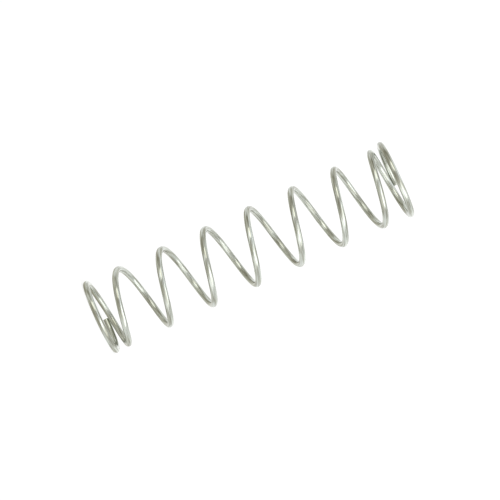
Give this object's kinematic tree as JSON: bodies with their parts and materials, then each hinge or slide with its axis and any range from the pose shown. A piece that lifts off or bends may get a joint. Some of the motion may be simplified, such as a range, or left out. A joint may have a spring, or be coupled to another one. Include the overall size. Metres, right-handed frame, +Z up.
{
  "type": "throttle spring",
  "caption": "Left-hand round-wire compression spring with closed, unground end coils and square-cut tips.",
  "frame": {"origin": "on the coil's axis, at the height of the lowest point of the lower end coil, which the spring stands on", "axes": "+Z up along the coil's axis; +Y towards the two square-cut wire tips, at the back; the picture looks at the front, along +Y"},
  "size_m": [0.0137, 0.0142, 0.0555],
  "materials": {
    "wire": "bright drawn spring wire, lightly streaked along its length"
  },
  "bodies": {
    "root": {"spring": "wire"}
  },
  "joints": []
}
